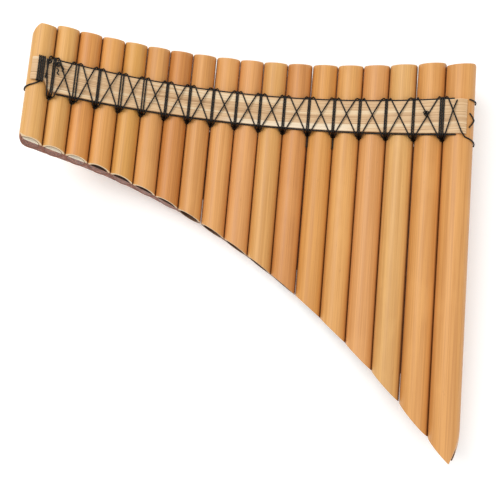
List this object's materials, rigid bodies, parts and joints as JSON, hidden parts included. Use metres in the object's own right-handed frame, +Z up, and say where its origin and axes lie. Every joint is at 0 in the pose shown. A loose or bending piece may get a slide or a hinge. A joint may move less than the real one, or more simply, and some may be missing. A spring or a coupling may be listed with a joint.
{
  "type": "pan flute",
  "caption": "Curved pan flute: bamboo tubes of stepped length in one arc, bound by slats and black waxed thread, with sliding cork tuning stoppers.",
  "frame": {"origin": "on the table under the middle of the flute's outline, as it lies on its curved back", "axes": "+Z up out of the hollow side; +Y towards the mouths, level; +X from the short tubes to the long ones"},
  "size_m": [0.3006, 0.2634, 0.0739],
  "materials": {
    "bamboo_01": "smooth dry bamboo rind with fine lengthwise streaks",
    "bamboo_02": "smooth dry bamboo rind with fine lengthwise streaks",
    "bamboo_03": "smooth dry bamboo rind with fine lengthwise streaks",
    "bamboo_04": "smooth dry bamboo rind with fine lengthwise streaks",
    "bamboo_05": "smooth dry bamboo rind with fine lengthwise streaks",
    "bamboo_06": "smooth dry bamboo rind with fine lengthwise streaks",
    "bamboo_07": "smooth dry bamboo rind with fine lengthwise streaks",
    "bamboo_08": "smooth dry bamboo rind with fine lengthwise streaks",
    "bamboo_09": "smooth dry bamboo rind with fine lengthwise streaks",
    "bamboo_10": "smooth dry bamboo rind with fine lengthwise streaks",
    "bamboo_11": "smooth dry bamboo rind with fine lengthwise streaks",
    "bamboo_12": "smooth dry bamboo rind with fine lengthwise streaks",
    "bamboo_13": "smooth dry bamboo rind with fine lengthwise streaks",
    "bamboo_14": "smooth dry bamboo rind with fine lengthwise streaks",
    "bamboo_15": "smooth dry bamboo rind with fine lengthwise streaks",
    "bamboo_16": "smooth dry bamboo rind with fine lengthwise streaks",
    "bamboo_17": "smooth dry bamboo rind with fine lengthwise streaks",
    "bamboo_18": "smooth dry bamboo rind with fine lengthwise streaks",
    "cork": "fine-grained cork",
    "slat": "split bamboo with lengthwise grain",
    "waxed_thread": "twisted waxed thread, slightly glossy",
    "brown_glue": "hard reddish-brown glue and filler"
  },
  "bodies": {
    "row": {"tube_01": "bamboo_01", "tube_02": "bamboo_02", "tube_03": "bamboo_03", "tube_04": "bamboo_04", "tube_05": "bamboo_05", "tube_06": "bamboo_06", "tube_07": "bamboo_07", "tube_08": "bamboo_08", "tube_09": "bamboo_09", "tube_10": "bamboo_10", "tube_11": "bamboo_11", "tube_12": "bamboo_12", "tube_13": "bamboo_13", "tube_14": "bamboo_14", "tube_15": "bamboo_15", "tube_16": "bamboo_16", "tube_17": "bamboo_17", "tube_18": "bamboo_18", "front_slat": "slat", "back_slat": "slat", "gap_wraps": "waxed_thread", "cross_lashing": "waxed_thread", "front_edge_cords": "waxed_thread", "back_edge_cords": "waxed_thread", "end_whipping": "waxed_thread", "end_ties": "waxed_thread", "knots": "waxed_thread", "cord_tails": "waxed_thread", "glue_beads": "brown_glue", "end_seals": "brown_glue", "end_fills": "brown_glue"},
    "cork_01": {"stopper_01": "cork"},
    "cork_02": {"stopper_02": "cork"},
    "cork_03": {"stopper_03": "cork"},
    "cork_04": {"stopper_04": "cork"},
    "cork_05": {"stopper_05": "cork"},
    "cork_06": {"stopper_06": "cork"},
    "cork_07": {"stopper_07": "cork"},
    "cork_08": {"stopper_08": "cork"},
    "cork_09": {"stopper_09": "cork"},
    "cork_10": {"stopper_10": "cork"},
    "cork_11": {"stopper_11": "cork"},
    "cork_12": {"stopper_12": "cork"},
    "cork_13": {"stopper_13": "cork"},
    "cork_14": {"stopper_14": "cork"},
    "cork_15": {"stopper_15": "cork"},
    "cork_16": {"stopper_16": "cork"},
    "cork_17": {"stopper_17": "cork"},
    "cork_18": {"stopper_18": "cork"}
  },
  "joints": [
    {"name": "tune_01", "type": "slide", "parent": "row", "child": "cork_01", "axis": [0, 0.9995, 0.0312], "range_m": [-0.003, 0.003]},
    {"name": "tune_02", "type": "slide", "parent": "row", "child": "cork_02", "axis": [0, 0.9995, 0.0312], "range_m": [-0.003, 0.003]},
    {"name": "tune_03", "type": "slide", "parent": "row", "child": "cork_03", "axis": [0, 0.9995, 0.0312], "range_m": [-0.003, 0.003]},
    {"name": "tune_04", "type": "slide", "parent": "row", "child": "cork_04", "axis": [0, 0.9995, 0.0312], "range_m": [-0.003, 0.003]},
    {"name": "tune_05", "type": "slide", "parent": "row", "child": "cork_05", "axis": [0, 0.9995, 0.0312], "range_m": [-0.003, 0.003]},
    {"name": "tune_06", "type": "slide", "parent": "row", "child": "cork_06", "axis": [0, 0.9995, 0.0312], "range_m": [-0.003, 0.003]},
    {"name": "tune_07", "type": "slide", "parent": "row", "child": "cork_07", "axis": [0, 0.9995, 0.0312], "range_m": [-0.003, 0.003]},
    {"name": "tune_08", "type": "slide", "parent": "row", "child": "cork_08", "axis": [0, 0.9995, 0.0312], "range_m": [-0.003, 0.003]},
    {"name": "tune_09", "type": "slide", "parent": "row", "child": "cork_09", "axis": [0, 0.9995, 0.0312], "range_m": [-0.003, 0.003]},
    {"name": "tune_10", "type": "slide", "parent": "row", "child": "cork_10", "axis": [0, 0.9995, 0.0312], "range_m": [-0.003, 0.003]},
    {"name": "tune_11", "type": "slide", "parent": "row", "child": "cork_11", "axis": [0, 0.9995, 0.0312], "range_m": [-0.003, 0.003]},
    {"name": "tune_12", "type": "slide", "parent": "row", "child": "cork_12", "axis": [0, 0.9995, 0.0312], "range_m": [-0.003, 0.003]},
    {"name": "tune_13", "type": "slide", "parent": "row", "child": "cork_13", "axis": [0, 0.9995, 0.0312], "range_m": [-0.003, 0.003]},
    {"name": "tune_14", "type": "slide", "parent": "row", "child": "cork_14", "axis": [0, 0.9995, 0.0312], "range_m": [-0.003, 0.003]},
    {"name": "tune_15", "type": "slide", "parent": "row", "child": "cork_15", "axis": [0, 0.9995, 0.0312], "range_m": [-0.003, 0.003]},
    {"name": "tune_16", "type": "slide", "parent": "row", "child": "cork_16", "axis": [0, 0.9995, 0.0312], "range_m": [-0.003, 0.003]},
    {"name": "tune_17", "type": "slide", "parent": "row", "child": "cork_17", "axis": [0, 0.9995, 0.0312], "range_m": [-0.003, 0.003]},
    {"name": "tune_18", "type": "slide", "parent": "row", "child": "cork_18", "axis": [0, 0.9995, 0.0312], "range_m": [-0.003, 0.003]}
  ]
}
